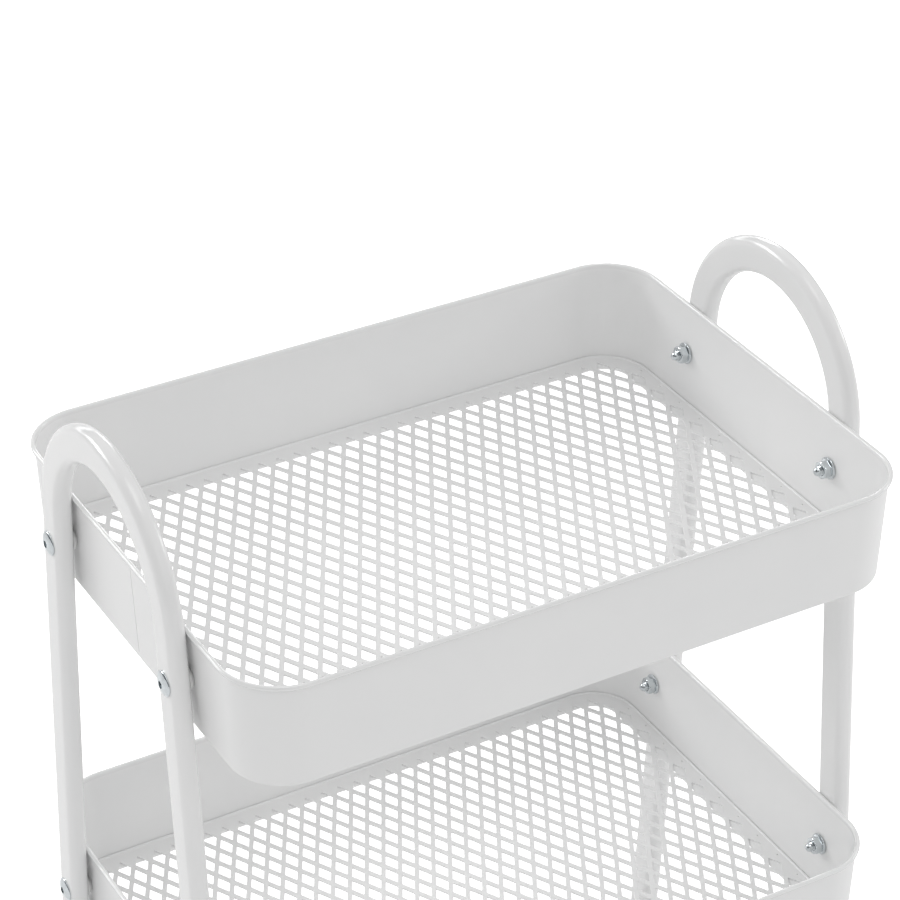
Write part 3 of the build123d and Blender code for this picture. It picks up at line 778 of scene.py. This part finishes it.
def brake_lever():
    """Moulded pedal: brake shoe over the tyre, boss round the pin, and a broad pedal with grip ridges."""
    px, pz = PIN
    shoe = [(px - 3.0, pz + 2.6), (px + 4.0, pz + 3.0), (px + 12.0, pz + 1.2), (px + 12.0, pz - 3.4), (px + 5.0, pz - 3.2), (px + 1.2, pz - 7.5), (px - 2.4, pz - 7.0), (px - 4.0, pz - 2.0)]
    mid = plate(round_corners(shoe, [1.6, 1.5, 0.3, 0.3, 1.2, 1.2, 1.2, 1.6]), -9.1, 9.1)
    top = round_corners([(px + 9.0, -13.0), (px + 19.0, -13.0), (px + 19.0, 13.0), (px + 9.0, 13.0)], [1.5, 4.0, 4.0, 1.5], 6)
    rings = []
    for k, z in ((0.90, pz - 3.4), (1.0, pz - 3.05), (1.0, pz - 0.75), (0.955, pz - 0.4)):
        rings.append([(px + 14.0 + (x - px - 14.0) * (1 - (1 - k) * 1.6), y * (1 - (1 - k) * 0.7), z) for x, y in top])
    pedal = loft(rings, cap0=True, cap1=True)
    parts = [(mid, Matrix.Identity(4)), (pedal, Matrix.Identity(4))]
    for i in range(4):
        x = px + 11.6 + 1.9 * i
        ridge = round_corners([(x - 0.5, pz - 0.7), (x - 0.3, pz - 0.08), (x + 0.3, pz - 0.08), (x + 0.5, pz - 0.7)], 0.12, 2)
        parts.append((plate(ridge, -9.5, 9.5), Matrix.Identity(4)))
    return placed_each(parts)


FORK, CUP, STEM, PLUG, HUB, TYRE, AXLE, LPIN, PEDAL = caster_fork(), bearing_cup(), caster_stem(), leg_plug(), wheel_hub(), tyre(), axle(), lever_pin(), brake_lever()
ACROSS = T(TRAIL, 0, AXLE_Z) @ R(-90, "X")
for corner, (sx, sy) in CORNERS.items():
    at = T(sx * FRAME_X, sy * FOOT_Y, 0)
    go = at @ R(90.0 * sy, "Z")
    sw, wh = f"{corner}_swivel", f"{corner}_wheel"
    add(f"{corner}_plug", *placed(PLUG, at @ R(90, "Z")), NYLON, "cart", [f"{corner}_leg_plug"], "white_plastic", sharp=40)
    add(f"{corner}_stem", *placed(STEM, go), ZINC_CASTER, "cart", [f"{corner}_caster_stem"], "zinc", sharp=38)
    add(f"{corner}_fork", *placed(FORK, go), ZINC_CASTER, sw, [f"{corner}_caster_fork"], "zinc", sharp=38, bevel=0.28)
    add(f"{corner}_cup", *placed(CUP, go), ZINC_CASTER, sw, [f"{corner}_bearing_cup"], "zinc", sharp=38)
    add(f"{corner}_axle_rivet", *placed(AXLE, go @ ACROSS), ZINC_CASTER, sw, [f"{corner}_axle"], "zinc", sharp=38)
    add(f"{corner}_wheel_hub", *placed(HUB, go @ ACROSS), NYLON, wh, [f"{corner}_hub"], "white_plastic", sharp=38)
    add(f"{corner}_tread", *placed(TYRE, go @ ACROSS), TREAD, wh, [f"{corner}_tyre"], "tyre", sharp=38)
    if corner in BRAKED:
        add(f"{corner}_pedal", *placed(PEDAL, go), LEVER, f"{corner}_brake", [f"{corner}_brake_lever"], "lever_plastic", sharp=38, bevel=0.22)
        add(f"{corner}_pedal_pin", *placed(LPIN, go @ T(PIN[0], 0, PIN[1]) @ R(-90, "X")), ZINC_CASTER, sw, [f"{corner}_brake_pin"], "zinc", sharp=38)

# what stays as packed takes a finished material
for name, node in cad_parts.items():
    if node.hide_render:
        continue
    for slot in node.material_slots:
        slot.material = ZINC
    if not node.material_slots:
        node.data.materials.append(ZINC)

# ------------------------------------------------------------------ floor, light, camera
# a pale floor lit until it is white to the camera, but dimmer to the cart above it
floor_mat = Mat("studio_floor")
floor_mat.set("Base Color", floor_mat.ramp(floor_mat.noise(1.5, 2.0), 0.795, 0.805))
floor_mat.set("Roughness", 0.8)
floor_mat.set("Emission Color", (1.0, 1.0, 1.0))
seen = floor_mat.n("ShaderNodeLightPath").outputs["Is Camera Ray"]
floor_mat.set("Emission Strength", floor_mat.span(seen, 0.155, 0.80, 0.0, 1.0))
bpy.ops.mesh.primitive_grid_add(x_subdivisions=2, y_subdivisions=2, size=60.0, location=(0, 0, 0))
floor = bpy.context.object
floor.name = "studio_floor"
floor.data.materials.append(floor_mat.m)

world = bpy.data.worlds.new("studio")
scene.world = world
world.use_nodes = True
wt = world.node_tree
for n in list(wt.nodes):
    wt.nodes.remove(n)
out = wt.nodes.new("ShaderNodeOutputWorld")
co = wt.nodes.new("ShaderNodeTexCoord").outputs["Generated"]
sep = wt.nodes.new("ShaderNodeSeparateXYZ")
wt.links.new(co, sep.inputs[0])


def graded(stops):
    """Grey by height, from straight level at 0 to straight up at 1."""
    ramp = wt.nodes.new("ShaderNodeValToRGB")
    els = ramp.color_ramp.elements
    while len(els) < len(stops):
        els.new(0.5)
    for el, (at, grey) in zip(els, stops):
        el.position = at
        el.color = (grey, grey, grey, 1) if isinstance(grey, float) else (*grey, 1)
    wt.links.new(sep.outputs["Z"], ramp.inputs["Fac"])
    return ramp.outputs["Color"]


def wmath(op, *xs):
    node = wt.nodes.new("ShaderNodeMath")
    node.operation = op
    for i, v in enumerate(xs):
        if isinstance(v, (int, float)):
            node.inputs[i].default_value = v
        else:
            wt.links.new(v, node.inputs[i])
    return node.outputs[0]


def step(value, lo, hi):
    node = wt.nodes.new("ShaderNodeMapRange")
    node.interpolation_type = "SMOOTHSTEP"
    node.inputs["From Min"].default_value = lo
    node.inputs["From Max"].default_value = hi
    wt.links.new(value, node.inputs["Value"])
    return node.outputs["Result"]


def panel(direction, inner, outer, strength):
    """A round softbox's reflection: full within inner degrees of a direction, gone at outer."""
    dot = wt.nodes.new("ShaderNodeVectorMath")
    dot.operation = "DOT_PRODUCT"
    wt.links.new(co, dot.inputs[0])
    dot.inputs[1].default_value = Vector(direction).normalized()
    return wmath("MULTIPLY", step(dot.outputs["Value"], math.cos(math.radians(outer)), math.cos(math.radians(inner))), strength)


def background(color, strength=1.0, scale=None):
    bg = wt.nodes.new("ShaderNodeBackground")
    if isinstance(color, tuple):
        bg.inputs["Color"].default_value = color
    else:
        wt.links.new(color, bg.inputs["Color"])
    if scale is None:
        bg.inputs["Strength"].default_value = strength
    else:
        wt.links.new(scale, bg.inputs["Strength"])
    return bg.outputs[0]


def blend(fac, a, b):
    node = wt.nodes.new("ShaderNodeMixShader")
    wt.links.new(fac, node.inputs["Fac"])
    wt.links.new(a, node.inputs[1])
    wt.links.new(b, node.inputs[2])
    return node.outputs[0]


def plus(a, b):
    node = wt.nodes.new("ShaderNodeAddShader")
    wt.links.new(a, node.inputs[0])
    wt.links.new(b, node.inputs[1])
    return node.outputs[0]


path = wt.nodes.new("ShaderNodeLightPath")
soft = background(graded([(0.0, 0.05), (0.35, 1.0), (1.0, 0.655)]), strength=1.01)
# what polished surfaces see: a bright ceiling over a darker band round the room, two unlit stands, a bank of lights behind and an overhead softbox
dark = wmath("SUBTRACT", 1.0, wmath("MAXIMUM", panel((-0.417, -0.735, 0.534), 9, 22, 0.88), panel((-0.85, 0.0, 0.55), 16, 32, 0.85)))
ceiling = background(graded([(0.0, (0.10, 0.11, 0.12)), (0.30, (0.30, 0.32, 0.33)), (0.62, 1.0)]), scale=dark)


def window(x0, x1, z0, z1, strength):
    """A soft-edged rectangle of light on the far side of the room (+Y), between two x and two z of the direction."""
    wide = wmath("MULTIPLY", step(sep.outputs["X"], x0 - 0.05, x0 + 0.05), wmath("SUBTRACT", 1.0, step(sep.outputs["X"], x1 - 0.05, x1 + 0.05)))
    tall = wmath("MULTIPLY", step(sep.outputs["Z"], z0 - 0.03, z0 + 0.03), wmath("SUBTRACT", 1.0, step(sep.outputs["Z"], z1 - 0.03, z1 + 0.03)))
    return wmath("MULTIPLY", wmath("MULTIPLY", wide, tall), wmath("MULTIPLY", step(sep.outputs["Y"], 0.30, 0.42), strength))


bank = wmath("MAXIMUM", window(-0.66, -0.30, 0.28, 0.54, BANK), window(0.44, 0.62, 0.14, 0.38, BANK))
bank = wmath("MAXIMUM", bank, window(-0.30, 0.50, 0.06, 0.17, BANK * 0.6))
lights = wmath("ADD", bank, panel((0.10, -0.05, 0.95), 8, 17, OVERHEAD))
gloss = plus(ceiling, background((1.0, 1.0, 1.0, 1), scale=lights))
room = blend(path.outputs["Is Glossy Ray"], soft, gloss)
wt.links.new(blend(path.outputs["Is Camera Ray"], room, background((1.0, 1.0, 1.0, 1))), out.inputs["Surface"])


def area(name, direction, distance, size, power, aim=(0, 0, 0.5)):
    d = Vector(direction).normalized()
    light = bpy.data.lights.new(name, "AREA")
    light.shape = "RECTANGLE"
    light.size, light.size_y = size
    light.energy = power
    ob = bpy.data.objects.new(name, light)
    ob.location = Vector(aim) + d * distance
    ob.rotation_euler = (-d).to_track_quat("-Z", "Y").to_euler()
    scene.collection.objects.link(ob)
    return ob


area("softbox_back_left", (-0.515, 0.736, 0.42), 2.6, (1.0, 0.6), 11)
area("softbox_right", (0.924, -0.131, 0.33), 2.8, (0.7, 0.5), 10.5)

cam_data = bpy.data.cameras.new("camera")
cam_data.sensor_fit = "HORIZONTAL"
cam_data.sensor_width = 36.0
cam_data.lens = 125.07
cam_data.clip_start, cam_data.clip_end = 0.05, 200.0
cam = bpy.data.objects.new("camera", cam_data)
az, el = math.radians(-29.552), math.radians(32.282)
back = Vector((math.sin(az) * math.cos(el), -math.cos(az) * math.cos(el), math.sin(el)))
cam.location = Vector((-0.00286, 0.00472, 0.706)) + back * 1.7809
cam.rotation_euler = (-back).to_track_quat("-Z", "Y").to_euler()
scene.collection.objects.link(cam)
scene.camera = cam
scene.view_settings.view_transform = "Standard"
scene.view_settings.look = "None"
scene.view_settings.exposure = 0.0
scene.view_settings.gamma = 1.0
